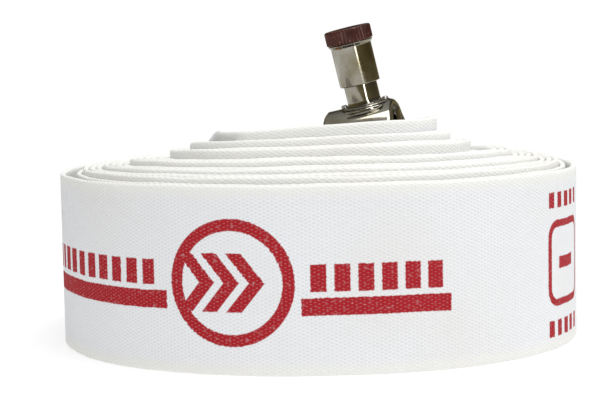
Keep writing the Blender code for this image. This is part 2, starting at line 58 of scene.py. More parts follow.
ROLL_AT = Vector((0.9, -43.9, 0.1))
TURNS = 20
A_TURNS = (-0.5, 0, 18.5, 19, 19.3, 19.5, 19.7, 20, 20.2)
ROLL_A = (70.5, 73.0, 149.4, 151.4, 156.6, 159.2, 158.8, 157.4, 158.4)
LIFTS = (
    (0, 0, 24.7),
    (1, 2, 17.8),
    (3, 5, 13.4),
    (6, 11, 8.2),
    (12, 15, 5.0),
    (16, 18, 2.9),
    (19, 20, 0.0),
)
DIPS = ((6, 3.0), (7, 3.4), (8, 2.6))
TILT_TURNS = (-0.5, 0, 1, 2, 5, 11, 15, 19)
TILTS = (0.055, 0.055, 0.03, 0.024, 0.014, 0.008, 0.004, 0)
LEAN_TURNS = (0, 2, 5, 11, 15, 17, 18.3)
LEANS = (0.045, 0.05, 0.032, 0.026, 0.016, 0.008, 0)
DEPTH_SHARE = (0.90, 0.96)
SQUARENESS = (2.9, 2.15)
CAD_STEPS_PER_TURN = 14
ROLL_START = -5 * math.tau / CAD_STEPS_PER_TURN
ROLL_END = math.radians(TURNS * 360 + 40)
LIFT_FROM, LIFT_TO, DIP_FROM, DIP_TO = 0.62, 0.22, 0.06, 0.1  # in turns, before and after +X
OPENING_REACH, CLOSING_REACH = (44.0, 38.0), (52.0, 62.0)
FLAT_BY = 0.62  # share of the opening's length after which the hose is flat

FEMALE_AT = ROLL_AT + Vector((38.6, -6.0, 98.9))
FEMALE_RISE, FEMALE_TURN, FEMALE_LEAN = math.radians(12), math.radians(-12), math.radians(5.5)
BODY_R, BODY_BACK, BODY_FRONT = 40.0, -26.5, 17.5
MOUTH_R, SEAL_LOW, SEAL_HIGH = 33.4, -15.6, -10.4
BOSS_TOP, BOSS_R = 42.0, 16.5
TAIL_SOCKET_R, TAIL_SOCKET, TAIL_BORE_R, TAIL_R, TAIL_LENGTH = 31.0, 10.0, 26.0, 30.4, 37.0
COLLAR, COLLAR_RISE, FIT = 2.6, 1.2, 0.3
GROOVE_HALF, GROOVE_DEPTH, PLUG_GROOVE_DEPTH = 1.1, 1.0, 1.2
LOCK_HALF, LOCK_INSIDE, LOCK_OUTSIDE = 0.8, 0.9, 0.7
GUARD_FROM_END, GUARD_FROM_COLLAR = 5.0, 3.0
BARB_DEPTH, BARB_CREST, BARB_DROP = 1.6, 0.8, 0.8
MALE_FLANGE_R, MALE_FLANGE_HALF, MALE_HUB = 41.0, 4.5, 8.0
SPIGOT_R, SPIGOT_LENGTH = 33.0, 28.6
MALE_AT = ROLL_AT + Vector((-52.0, 196.5, MALE_FLANGE_R + 0.3))
MALE_TURN = math.radians(180)
TOOTH_TIP, TOOTH_TOP, TOOTH_R, SPINDLE_R = 30.7, 40.0, 6.0, 3.0
HOUSING_BORE_R, HOUSING_STUB_R = 6.3, 9.0
HOUSING_FOOT, HOUSING_FLANGE_R, HOUSING_R, HOUSING_TOP = 34.8, 15.6, 10.2, 62.0
GLAND_BOTTOM = 57.0
SLEEVE_BOTTOM, SLEEVE_R, SLEEVE_CEILING, SLEEVE_TOP = 56.0, 12.45, 64.0, 82.0
GRIP_R, GRIP_TOP, NUT_R, NUT_RECESS_R, NUT_RECESS = 14.4, 91.0, 6.2, 8.0, 4.2
SPRING_R, SPRING_WIRE_R, SPRING_TURNS = 4.65, 0.5, 5
SCREW_OUT, SCREW_HOLE_R, SCREW_R, SCREW_FOOT = 12.9, 1.3, 1.0, 37.8

# --- dimensions that are finer than the CAD model's, or differ from them -------------------------------
STEPS_PER_TURN = 56
OPENING_COUNT, CLOSING_COUNT = 40, 44
STEP_MARGIN = 0.4  # least distance of a step from the roll's ends, in steps
EDGE_WAVES = ((0.22, 17.0, 0.0), (0.16, 7.3, 1.1))  # the folded edges: height, length over tau, phase
HOUSING_FLANGE_TOP = 43.5
SADDLE_RISE, SADDLE_HALF_ANGLE, SADDLE_STEPS = 3.1, math.radians(44), 28
SADDLE_INSIDE, SADDLE_SINK = 30.0, 0.1
BARBS, GUARD_WALL = 7, 1.2
WIRE_R, WIRE_GAP, WIRE_TURNS, WIRE_STEPS = 0.85, 0.1, 11, 64
SPRING_STEPS = 28
FLUTES, FLUTE_DEPTHS = 44, (0, 0.28, 0.55, 0.28)
BODY_SIDES, LATCH_SIDES = 128, 64

# --- camera --------------------------------------------------------------------------------------------
CAMERA_FROM_ROLL = Vector((-8.8, -1037.0, 175.1))
CAMERA_PITCH, CAMERA_ROLL, LENS = 0.0923, 0.0188, 98.4

# --- surroundings' colours -------------------------------------------------------------------------------
WHITE = (1.0, 1.0, 1.0)
SKY = ((0.0, 0.15), (0.25, 0.7), (0.5, 1.06), (0.7, 0.66))  # brightness from -X towards +X, which is white
SKY_TINT = (0.985, 0.99, 1.0)
ROOM = ((0.0, (0.24, 0.2, 0.1)), (0.3, (0.05, 0.045, 0.035)), (0.9, (0.62, 0.62, 0.6)))  # from below to above
FLOOR_HALF, FLOOR_COLOUR, FLOOR_GLOW = 1.1, (0.55, 0.55, 0.55), 0.5


# --- shader helpers ------------------------------------------------------------------------------------
class Nodes:
    """Short calls for the nodes of a material or of the world."""

    def __init__(self, owner):
        owner.use_nodes = True
        self.owner = owner
        self.tree = owner.node_tree

    def add(self, kind, **settings):
        node = self.tree.nodes.new(kind)
        for key, value in settings.items():
            setattr(node, key, value)
        return node

    def put(self, socket, value):
        if isinstance(value, (int, float)):
            socket.default_value = value
        elif isinstance(value, tuple):
            socket.default_value = (*value, 1.0) if len(value) == 3 and socket.type == "RGBA" else value
        else:
            self.tree.links.new(value, socket)

    def math(self, operation, *values):
        node = self.add("ShaderNodeMath", operation=operation)
        for socket, value in zip(node.inputs, values):
            self.put(socket, value)
        return node.outputs[0]

    def mix(self, share, one, other):
        node = self.add("ShaderNodeMix", data_type="RGBA")
        self.put(node.inputs["Factor"], share)
        self.put(node.inputs[6], one)
        self.put(node.inputs[7], other)
        return node.outputs[2]

    def noise(self, scale, vector=None, detail=2.0):
        node = self.add("ShaderNodeTexNoise")
        node.inputs["Scale"].default_value = scale
        node.inputs["Detail"].default_value = detail
        if vector is not None:
            self.put(node.inputs["Vector"], vector)
        return node.outputs["Fac"]

    def spread(self, value, low, high, to_low=0.0, to_high=1.0):
        node = self.add("ShaderNodeMapRange", clamp=True)
        for socket, v in zip(node.inputs, (value, low, high, to_low, to_high)):
            self.put(socket, v)
        return node.outputs[0]

    def position(self):
        return self.add("ShaderNodeTexCoord").outputs["Object"]

    def parts(self, vector):
        """The X, Y and Z of a vector."""
        split = self.add("ShaderNodeSeparateXYZ")
        self.put(split.inputs[0], vector)
        return split.outputs

    def length(self, x, y):
        return self.math("SQRT", self.math("ADD", self.math("MULTIPLY", x, x), self.math("MULTIPLY", y, y)))

    def ramp(self, value, stops):
        """The colour at value, between stops of (place, colour)."""
        node = self.add("ShaderNodeValToRGB")
        elements = node.color_ramp.elements
        elements.remove(elements[-1])
        elements[0].position = stops[0][0]
        elements[0].color = (*stops[0][1], 1.0)
        for place, colour in stops[1:]:
            elements.new(place).color = (*colour, 1.0)
        self.put(node.inputs[0], value)
        return node.outputs[0]

    def bump(self, height, strength, distance, after=None):
        node = self.add("ShaderNodeBump")
        node.inputs["Strength"].default_value = strength
        node.inputs["Distance"].default_value = distance
        self.put(node.inputs["Height"], height)
        if after is not None:
            self.put(node.inputs["Normal"], after)
        return node.outputs[0]

    def finish(self, colour, roughness, metallic=0.0, normal=None, **constants):
        """Set the material's shader and return the material."""
        inputs = self.tree.nodes["Principled BSDF"].inputs
        self.put(inputs["Base Color"], colour)
        self.put(inputs["Roughness"], roughness)
        inputs["Metallic"].default_value = metallic
        for key, value in constants.items():
            inputs[key.replace("_", " ")].default_value = value
        if normal is not None:
            self.put(inputs["Normal"], normal)
        return self.owner


def material_nodes(name):
    return Nodes(bpy.data.materials.new(name))


# --- materials -----------------------------------------------------------------------------------------
def in_band(n, value, low, high):
    """1 where value lies between low and high, in millimetres, with slightly soft edges."""
    soft = 0.25
    rise = n.spread(value, low - soft, low + soft)
    fall = n.spread(value, high - soft, high + soft, 1.0, 0.0)
    return n.math("MULTIPLY", rise, fall)


def any_of(n, masks):
    result = masks[0]
    for mask in masks[1:]:
        result = n.math("MAXIMUM", result, mask)
    return result


# Generic red marks on the outermost turn, (along low, high, up low, high) from the middle of its front.
PRINT_BARS = ((-220.0, -88.0, 35.0, 45.0), (-12.0, 70.5, 32.8, 42.4), (160.0, 184.0, 46.5, 53.5))
PRINT_TICKS = (  # (first, low, high, how many, pitch, width)
    (-214.0, 48.0, 62.0, 10, 12.2, 8.0),
    (-7.0, 45.6, 60.5, 6, 12.8, 8.6),
    (147.0, 82.0, 91.0, 5, 10.6, 6.4),
    (147.0, 7.5, 17.0, 5, 10.6, 6.4),
)
RING_AT, RING_R, RING_WIDTH = (-50.0, 50.5), 34.8, 6.6
CHEVRONS, CHEVRON_PITCH, CHEVRON_WIDTH = 3, 14.0, 8.6
CHEVRON_HALF, CHEVRON_SLOPE, CHEVRON_SHIFT = 16.0, 0.8, 3.0
FRAME_AT, FRAME_HALF, FRAME_CORNER, FRAME_WIDTH = (172.0, 50.0), (26.0, 25.0), 11.0, 4.2
WEAVE_ALONG, WEAVE_UP = 2.2, 1.015  # half the weave's repeat, in millimetres
CLOTH, SOILED = (0.86, 0.868, 0.885), (0.83, 0.82, 0.795)
# The first colour here is painted shade for the weave's valleys; the second is the folds' yellowing.
WEAVE_VALLEY_SHADE, YELLOWED = (0.73, 0.735, 0.75), (0.885, 0.875, 0.825)
INK = (0.4, 0.009, 0.016)


def print_marks(n, x, y):
    """The masks of all printed marks, x along the hose and y up its outer flank, in millimetres."""

    def box(low_x, high_x, low_y, high_y):
        return n.math("MULTIPLY", in_band(n, x, low_x, high_x), in_band(n, y, low_y, high_y))

    marks = [box(*bar) for bar in PRINT_BARS]
    for start, low, high, count, pitch, width in PRINT_TICKS:
        marks += [box(start + i * pitch, start + i * pitch + width, low, high) for i in range(count)]
    off_x, off_y = n.math("SUBTRACT", x, RING_AT[0]), n.math("SUBTRACT", y, RING_AT[1])
    marks.append(in_band(n, n.length(off_x, off_y), RING_R - RING_WIDTH, RING_R))
    # The frame's distance to its outline: a rectangle shrunk by the corner's radius, and grown again.
    over_x, over_y = (
        n.math("SUBTRACT", n.math("ABSOLUTE", n.math("SUBTRACT", value, centre)), half - FRAME_CORNER)
        for value, centre, half in zip((x, y), FRAME_AT, FRAME_HALF)
    )
    out = n.length(n.math("MAXIMUM", over_x, 0.0), n.math("MAXIMUM", over_y, 0.0))
    out = n.math("ADD", out, n.math("MINIMUM", n.math("MAXIMUM", over_x, over_y), 0.0))
    marks.append(in_band(n, out, FRAME_CORNER - FRAME_WIDTH, FRAME_CORNER))
    # Chevrons in the ring, pointing along the hose.
    aside = n.math("ABSOLUTE", off_y)
    slanted = n.math("ADD", off_x, n.math("MULTIPLY", aside, CHEVRON_SLOPE))
    inside = in_band(n, aside, -1.0, CHEVRON_HALF)
    for i in range(CHEVRONS):
        first = (i - CHEVRONS / 2) * CHEVRON_PITCH + CHEVRON_SHIFT
        marks.append(n.math("MULTIPLY", in_band(n, slanted, first, first + CHEVRON_WIDTH), inside))
    return marks


def jacket_material():
    n = material_nodes("jacket_weave_fine")
    uv = n.add("ShaderNodeUVMap", uv_map="metric").outputs[0]
    metres = n.parts(uv)
    along = n.math("MULTIPLY", metres[0], 1000.0)
    around = n.math("MULTIPLY", metres[1], 1000.0)
    # Weave: bumps in columns, each column half a step up from the last.
    wobble = n.math("MULTIPLY", n.noise(180.0, uv), 0.5)
    a = n.math("COSINE", n.math("MULTIPLY", n.math("ADD", along, wobble), math.pi / WEAVE_ALONG))
    b = n.math("COSINE", n.math("MULTIPLY", n.math("ADD", around, wobble), math.pi / WEAVE_UP))
    knots = n.spread(n.math("MULTIPLY", a, b), -1.0, 1.0)
    fuzz = n.noise(2600.0, n.position(), 3.0)
    normal = n.bump(knots, 0.6, 0.0004)
    normal = n.bump(fuzz, 0.12, 0.0002, normal)

    # Print on the outer flank, worn a little and thinner in the valleys of the weave.
    up = n.math("ADD", around, FLAT_WIDTH / 2)
    ragged = n.math("MULTIPLY", n.math("SUBTRACT", n.noise(700.0, uv, 4.0), 0.5), 1.6)
    marks = print_marks(n, n.math("ADD", along, ragged), n.math("ADD", up, ragged))
    outer_flank = in_band(n, around, -FLAT_WIDTH / 2 + 1, FLAT_WIDTH / 2 - 1)
    ink = n.math("MULTIPLY", any_of(n, marks), outer_flank)
    ink = n.math("MULTIPLY", ink, n.spread(knots, 0.02, 0.3, 0.85, 1.0))
    ink = n.math("MULTIPLY", ink, n.spread(n.noise(420.0, uv, 5.0), 0.3, 0.42, 0.82, 1.0))

    soil = n.spread(n.noise(14.0, n.position(), 4.0), 0.45, 0.8)
    cloth = n.mix(soil, CLOTH, SOILED)
    # Painted shade: the weave's valleys are darkened, as if shadowed by the threads.
    cloth = n.mix(n.spread(knots, 0.0, 0.55, 1.0, 0.0), cloth, WEAVE_VALLEY_SHADE)
    # The folded edges have yellowed a little.
    from_fold = n.math("ABSOLUTE", n.math("SUBTRACT", n.math("ABSOLUTE", around), FLAT_WIDTH / 2))
    cloth = n.mix(n.spread(from_fold, 2.0, 9.0, 0.7, 0.0), cloth, YELLOWED)
    cloth = n.mix(ink, cloth, INK)
    return n.finish(cloth, 0.86, normal=normal, Specular_IOR_Level=0.25)


def rubber_material(name, colour):
    n = material_nodes(name)
    grain = n.noise(900.0, n.position(), 3.0)
    tone = n.mix(n.spread(n.noise(60.0, n.position()), 0.35, 0.7), colour, tuple(c * 1.7 for c in colour))
    return n.finish(tone, n.spread(grain, 0.3, 0.7, 0.45, 0.65), normal=n.bump(grain, 0.15, 0.0002))


def metal_material(name, colour, other, rough, brushed=0.0):
    n = material_nodes(name)
    here = n.position()
    patches = n.spread(n.noise(55.0, here, 4.0), 0.4, 0.68)
    smear = n.noise(420.0, here, 4.0)
    stretched = n.add("ShaderNodeMapping")
    stretched.inputs["Scale"].default_value = (1.0, 1.0, 18.0)
    n.put(stretched.inputs["Vector"], here)
    lines = n.noise(500.0, stretched.outputs[0], 3.0)
    normal = n.bump(lines, 0.05 + brushed, 0.00008)
    return n.finish(
        n.mix(patches, colour, other), n.spread(smear, 0.3, 0.7, rough * 0.7, rough * 1.5), 1.0, normal
    )


def grip_material():
    n = material_nodes("grip_enamel_fine")
    here = n.position()
    worn = n.spread(n.noise(260.0, here, 5.0), 0.6, 0.72)
    tone = n.mix(n.spread(n.noise(90.0, here), 0.35, 0.7), (0.05, 0.01, 0.007), (0.1, 0.02, 0.012))
    tone = n.mix(worn, tone, (0.2, 0.13, 0.1))
    return n.finish(tone, 0.38, 0.25, n.bump(n.noise(1500.0, here, 3.0), 0.2, 0.0001))


def cloth_material():
    n = material_nodes("binding_sleeve_fine")
    here = n.position()
    tone = n.mix(n.noise(300.0, here, 4.0), (0.3, 0.25, 0.17), (0.42, 0.36, 0.26))
    return n.finish(tone, 0.92, normal=n.bump(n.noise(1800.0, here, 2.0), 0.5, 0.0003))


LOOKS = {
    "jacket": jacket_material(),
    "lining": rubber_material("lining_rubber_fine", (0.02, 0.02, 0.022)),
    "seal": rubber_material("seal_rubber_fine", (0.013, 0.013, 0.014)),
    "plated": metal_material("plated_metal_fine", (0.33, 0.315, 0.27), (0.2, 0.175, 0.115), 0.09),
    "machined": metal_material("machined_metal_fine", (0.6, 0.59, 0.56), (0.5, 0.49, 0.46), 0.27, 0.1),
    "wire": metal_material("binding_wire_fine", (0.72, 0.38, 0.2), (0.55, 0.27, 0.14), 0.3, 0.05),
    "spring": metal_material("spring_steel_fine", (0.5, 0.5, 0.52), (0.4, 0.4, 0.42), 0.28, 0.05),
    "grip": grip_material(),
    "sleeve": cloth_material(),
}


# --- pieces ----------------------------------------------------------------------------------------------
def add_object(name, data):
    made = bpy.data.objects.new(name, data)
    bpy.context.scene.collection.objects.link(made)
    return made


def piece(name, mesh, look, body, *nodes):
    """A visual piece that rides on body and replaces the CAD's nodes."""
    made = add_object(name, mesh)
    mesh.materials.clear()
    mesh.materials.append(LOOKS[look])
    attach(made, body)
    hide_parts(*nodes)
    return made


def rounded(outline, radius):
    """The outline with its corners turned into arcs. Points on the axis stay."""
    steps, share_of_edge, shortest, on_line = 3, 0.42, 0.02, 0.995
    made = []
    count = len(outline)
    for i, point in enumerate(outline):
        here = Vector(point)
        before, after = Vector(outline[i - 1]) - here, Vector(outline[(i + 1) % count]) - here
        reach = min(radius, before.length * share_of_edge, after.length * share_of_edge)
        straight = abs(before.normalized().dot(after.normalized())) > on_line
        if point[0] < 1e-6 or straight or reach < shortest:
            made.append(tuple(point))
            continue
        start, end = here + before.normalized() * reach, here + after.normalized() * reach
        for k in range(steps + 1):
            t = k / steps
            made.append(tuple(start * (1 - t) ** 2 + here * 2 * t * (1 - t) + end * t * t))
    return made


def spun(outline, sides):
    """A mesh in millimetres, turned about Z from a closed outline of (radius, height) points."""
    bm = bmesh.new()
    points = [bm.verts.new((radius, 0, height)) for radius, height in outline]
    edges = [bm.edges.new((points[i - 1], points[i])) for i in range(len(points))]
    bmesh.ops.spin(
        bm, geom=points + edges, axis=(0, 0, 1), cent=(0, 0, 0), steps=sides, angle=math.tau, use_merge=True
    )
    bmesh.ops.remove_doubles(bm, verts=bm.verts, dist=1e-4)
    bmesh.ops.delete(bm, geom=[e for e in bm.edges if e.is_wire], context="EDGES")
    bmesh.ops.recalc_face_normals(bm, faces=bm.faces)
    return bm


def moved_solid(outline, sides, matrix):
    bm = spun(outline, sides)
    bmesh.ops.transform(bm, matrix=matrix, verts=bm.verts)
    return bm


def skinned(loops):
    """A closed bmesh through loops of points, each as long as the next, capped at both ends."""
    bm = bmesh.new()
    rows = [[bm.verts.new(point) for point in loop] for loop in loops]
    for one, other in zip(rows, rows[1:]):
        for i in range(len(one)):
            bm.faces.new((one[i - 1], one[i], other[i], other[i - 1]))
    bm.faces.new(rows[0])
    bm.faces.new(rows[-1])
    bmesh.ops.recalc_face_normals(bm, faces=bm.faces)
    return bm


def smoothed(mesh, sharp):
    mesh.shade_smooth()
    mesh.set_sharp_from_angle(angle=math.radians(sharp))
    return mesh


def to_mesh(name, bm, matrix, sharp=35):
    """A finished mesh in metres from bm in millimetres, placed by a matrix in millimetres."""
    bmesh.ops.transform(bm, matrix=Matrix.Scale(MM, 4) @ matrix, verts=bm.verts)
    bmesh.ops.recalc_face_normals(bm, faces=bm.faces)
    mesh = bpy.data.meshes.new(name)
    bm.to_mesh(mesh)
    bm.free()
    return smoothed(mesh, sharp)


def evaluated_mesh(made):
    """The mesh of an object with modifiers, or of a curve. The object is left in place."""
    bpy.context.view_layer.update()
    evaluated = made.evaluated_get(bpy.context.evaluated_depsgraph_get())
    return bpy.data.meshes.new_from_object(evaluated)


ALONG_X = Matrix.Rotation(math.radians(90), 4, "Y")


def lathe(node, outline, matrix, look, body=ROOT, sides=96, fillet=0.4):
    bm = spun(rounded(outline, fillet), sides)
    return piece(node + "_fine", to_mesh(node, bm, matrix), look, body, node)


def cut(name, start, cuts, matrix, sharp=35):
    """start with solids joined ("UNION") or taken away ("DIFFERENCE"), all as bmeshes in millimetres."""
    unscaled = Matrix.Scale(1 / MM, 4)
    made = add_object(name, to_mesh(name, start, unscaled))
    tools = []
    for operation, bm in cuts:
        tool = add_object(name + "_tool", to_mesh(name + "_tool", bm, unscaled))
        tools.append(tool)
        modifier = made.modifiers.new("cut", "BOOLEAN")
        modifier.operation = operation
        modifier.object = tool
    mesh = evaluated_mesh(made)
    for obj in [made, *tools]:
        bpy.data.objects.remove(obj)
    mesh.transform(Matrix.Scale(MM, 4) @ matrix)
    return smoothed(mesh, sharp)


def rod(radius, low, high):
    return [(0, low), (radius, low), (radius, high), (0, high)]


def ring(inner, outer, low, high):
    return [(inner, low), (outer, low), (outer, high), (inner, high)]


def coil(radius, low, high, turns, steps):
    """Points of a helix about Z, with so many steps to a turn."""
    points = []
    for i in range(turns * steps + 1):
        turn = i * math.tau / steps
        height = low + (high - low) * i / (turns * steps)
        points.append((radius * math.cos(turn), radius * math.sin(turn), height))
    return points


def wire(node, points, radius, look, matrix):
    """A wire along points, in millimetres, as a curve made into a mesh."""
    curve = bpy.data.curves.new(node, "CURVE")
    curve.dimensions = "3D"
    curve.bevel_depth = radius * MM
    curve.bevel_resolution = 3
    curve.use_fill_caps = True
    spline = curve.splines.new("POLY")
    spline.points.add(len(points) - 1)
    for point, at in zip(spline.points, points):
        point.co = (*(matrix @ Vector(at) * MM), 1)
    holder = add_object(node, curve)
    mesh = evaluated_mesh(holder)
    bpy.data.objects.remove(holder)
    # The caps come apart from the tube, and are welded to it.
    bm = bmesh.new()
    bm.from_mesh(mesh)
    bmesh.ops.remove_doubles(bm, verts=bm.verts, dist=1e-7)
    bm.to_mesh(mesh)
    bm.free()
    mesh.shade_smooth()
    return piece(node + "_fine", mesh, look, ROOT, node)


# --- the hose --------------------------------------------------------------------------------------------
def between(pair, share):
    return pair[0] + (pair[1] - pair[0]) * min(max(share, 0.0), 1.0)


def lift_table():
    """Rows of turns and lifts: level past -X, -Y and +X, where a few turns dip, then a ramp at +Y."""
    sag = dict(DIPS)
    table = []
    for first, last, lift in LIFTS:
        for k in range(first, last + 1):
            low = lift - sag.get(k, 0.0)
            table += [(k - LIFT_FROM, lift), (k - LIFT_TO, lift), (k - DIP_FROM, low), (k + DIP_TO, low)]
    return np.array(table).T


LIFT_TABLE = lift_table()


def oval(turn):
    """The half width and half depth of the roll at a turn."""
    a = np.interp(turn, A_TURNS, ROLL_A) - FLAT_THICK / 2
    return a, a * between(DEPTH_SHARE, (turn + 0.5) / (TURNS + 0.5))


def corner_reach(turn, power):
    """How far the roll's rounded corners reach from its centre."""
    return math.sqrt(math.prod(oval(turn))) * 2 ** (0.5 - 1 / power)


def squareness(turn):
    """The superellipse's power, such that the corners' reach grows evenly from turn to turn."""
    share = (turn - A_TURNS[0]) / (A_TURNS[2] - A_TURNS[0])
    if share >= 1:
        return SQUARENESS[1]
    ends = corner_reach(A_TURNS[0], SQUARENESS[0]), corner_reach(A_TURNS[2], SQUARENESS[1])
    return 1 / (0.5 - math.log2(between(ends, share) / math.sqrt(math.prod(oval(turn)))))


def roll_point(angle):
    """The hose's centre in the roll at an angle that keeps growing from turn to turn."""
    turn = angle / math.tau
    a, b = oval(turn)
    power = squareness(turn)
    reach = (abs(math.cos(angle) / a) ** power + abs(math.sin(angle) / b) ** power) ** (-1 / power)
    x, y = reach * math.cos(angle), reach * math.sin(angle)
    slant = np.interp(turn, TILT_TURNS, TILTS) * x - np.interp(turn, LEAN_TURNS, LEANS) * y
    return ROLL_AT + Vector((x, y, np.interp(turn, *LIFT_TABLE) + slant + FLAT_WIDTH / 2))


def bezier(start, start_handle, end_handle, end, count):
    """Points along the curve, without its two ends."""
    made = []
    for i in range(1, count + 1):
        t = i / (count + 1)
        near = start * (1 - t) ** 3 + start_handle * 3 * t * (1 - t) ** 2
        made.append(near + end_handle * 3 * t * t * (1 - t) + end * t**3)
    return made


def along(points):
    """The length of the route up to each point."""
    return [0.0, *np.cumsum([(b - a).length for a, b in zip(points, points[1:])])]


def smooth_step(x):
    x = min(max(x, 0.0), 1.0)
    return x * x * (3 - 2 * x)


def hose_route(female, male):
    """[(centre, openness)] from the female coupling to the male one, and the index of the front's middle."""
    first = BODY_BACK - COLLAR - 2 * FIT
    near = [female @ Vector((first, 0, 0)), female @ Vector((first - TAIL_LENGTH, 0, 0))]
    start, before = roll_point(ROLL_START), roll_point(ROLL_START - math.tau / CAD_STEPS_PER_TURN)
    heading = (start - before).normalized()
    out = (near[1] - near[0]).normalized()
    near_reach, roll_reach = OPENING_REACH
    start_handle, end_handle = near[1] + out * near_reach, start - heading * roll_reach
    opening = bezier(near[1], start_handle, end_handle, start, OPENING_COUNT)

    first = -(MALE_FLANGE_HALF + MALE_HUB + COLLAR + 2 * FIT)
    far = [male @ Vector((first - TAIL_LENGTH, 0, 0)), male @ Vector((first, 0, 0))]
    end, before = roll_point(ROLL_END), roll_point(ROLL_END - 0.02)
    heading = (end - before).normalized()
    out = (far[1] - far[0]).normalized()
    roll_reach, far_reach = CLOSING_REACH
    closing = bezier(end, end + heading * roll_reach, far[0] - out * far_reach, far[0], CLOSING_COUNT)

    route = [(p, 1.0) for p in near]
    spent = along([near[1], *opening, start])
    route += [(p, 1 - smooth_step(d / spent[-1] / FLAT_BY)) for p, d in zip(opening, spent[1:])]
    step = math.tau / STEPS_PER_TURN
    first, last = math.ceil(ROLL_START / step + STEP_MARGIN), math.floor(ROLL_END / step - STEP_MARGIN)
    angles = [ROLL_START, *(np.arange(first, last + 1) * step), ROLL_END]
    front = math.radians((TURNS - 0.25) * 360)
    middle = len(route) + int(np.argmin([abs(a - front) for a in angles]))
    route += [(roll_point(a), 0.0) for a in angles]
    spent = along([end, *closing, far[0]])
    route += [(p, smooth_step(d / spent[-1])) for p, d in zip(closing, spent[1:])]
    return route + [(p, 1.0) for p in far], middle


ROUND_LENGTH = math.tau * (JACKET_R - JACKET_WALL / 2)
# Distances of the section's points from a fold, in millimetres: close on the fold, wide apart on the flanks.
FOLD_STEPS = (0.5, 1.1, 1.9, 3.6, 8.0, 16.0, 25.0, 34.0, 43.5)


def stations():
    """Places round the section, as shares of its length from the middle of the outer flank, going up."""
    made = []
    for fold in (0.25, 0.75):
        places = [-s for s in reversed(FOLD_STEPS)] + [0.0] + list(FOLD_STEPS)
        made += [fold + s / ROUND_LENGTH for s in places]
    return made


STATIONS = stations()


def section_point(share, openness, inset):
    """(across, up) at a share of the way round the section, inset from the jacket's outer face."""
    middle = JACKET_R - JACKET_WALL / 2
    flat_half = FLAT_THICK / 2 - JACKET_WALL / 2
    half = flat_half + (middle - flat_half) * openness
    straight = math.pi * (middle - half)
    radius = half + JACKET_WALL / 2 - inset
    place = share * ROUND_LENGTH
    arc = math.pi * half
    if place < straight / 2:
        return radius, place
    if place < straight / 2 + arc:
        angle = (place - straight / 2) / half
        return radius * math.cos(angle), straight / 2 + radius * math.sin(angle)
    if place < 1.5 * straight + arc:
        return -radius, straight + arc - place
    if place < 1.5 * straight + 2 * arc:
        angle = math.pi + (place - 1.5 * straight - arc) / half
        return radius * math.cos(angle), -straight / 2 + radius * math.sin(angle)
    return radius, place - ROUND_LENGTH


def hose_mesh(name, route, middle, outer_inset, inner_inset):
    """The mesh and the length of one hollow layer, with metric UVs counted from route[middle]."""
    centres = [p for p, _ in route]
    spent = np.array(along(centres))
    spent -= spent[middle]
    bm = bmesh.new()
    metric = bm.loops.layers.uv.new("metric")
    walls = []
    for inset in (outer_inset, inner_inset):
        loops = []
        for i, (centre, openness) in enumerate(route):
            forward = (centres[min(i + 1, len(route) - 1)] - centres[max(i - 1, 0)]).normalized()
            up = (Vector((0, 0, 1)) - forward * forward.z).normalized()
            side = forward.cross(up)
            # The folded edges aren't quite straight.
            wave = sum(height * math.sin(spent[i] / size + phase) for height, size, phase in EDGE_WAVES)
            wave *= 1 - openness
            points = [section_point(s, openness, inset) for s in STATIONS]
            loops.append([bm.verts.new(centre + side * x + up * (y + wave)) for x, y in points])
        walls.append(loops)
    count = len(STATIONS)

    def face(corners):
        made = bm.faces.new([walls[w][i][j % count] for w, i, j in corners])
        high = max(STATIONS[j % count] + (j // count) for _, _, j in corners)
        for loop, (_, i, j) in zip(made.loops, corners):
            share = STATIONS[j % count] + j // count
            # Counted from the outer flank's middle, so its upper half is 0 to 0.25 and its lower -0.25 to 0.
            share -= 1 if high > 0.75 + 1e-6 else 0
            loop[metric].uv = (spent[i] * MM, share * ROUND_LENGTH * MM)

    for w in (0, 1):
        for i in range(len(route) - 1):
            for j in range(count):
                face([(w, i, j), (w, i, j + 1), (w, i + 1, j + 1), (w, i + 1, j)])
    for i in (0, len(route) - 1):
        for j in range(count):
            face([(0, i, j), (0, i, j + 1), (1, i, j + 1), (1, i, j)])
    return to_mesh(name, bm, Matrix.Identity(4), 60), spent[-1] - spent[0]


def make_hose(female, male):
    route, middle = hose_route(female, male)
    mesh, length = hose_mesh("jacket", route, middle, 0.0, JACKET_WALL)
    spans = ["jacket_inner_end", *(f"jacket_turns_{k}" for k in range(1, 8)), "jacket_outer_end"]
    jacket = piece("hose_jacket_fine", mesh, "jacket", ROOT, *spans)
    low = JACKET_WALL + WALL_GAP
    mesh, _ = hose_mesh("lining", route, middle, low, low + LINING_WALL)
    lining = piece("rubber_lining_fine", mesh, "lining", ROOT, "rubber_lining")


# --- couplings -------------------------------------------------------------------------------------------
def tail_socket(shoulder):
    """The stretch of a body's outline that holds the tail's plug, with a groove for the lock ring."""
    groove = shoulder + TAIL_SOCKET / 2
    return [
        (TAIL_BORE_R, shoulder + TAIL_SOCKET),
        (TAIL_SOCKET_R, shoulder + TAIL_SOCKET),
        (TAIL_SOCKET_R, groove + GROOVE_HALF),
        (TAIL_SOCKET_R + GROOVE_DEPTH, groove + GROOVE_HALF),
        (TAIL_SOCKET_R + GROOVE_DEPTH, groove - GROOVE_HALF),
        (TAIL_SOCKET_R, groove - GROOVE_HALF),
        (TAIL_SOCKET_R, shoulder),
    ]


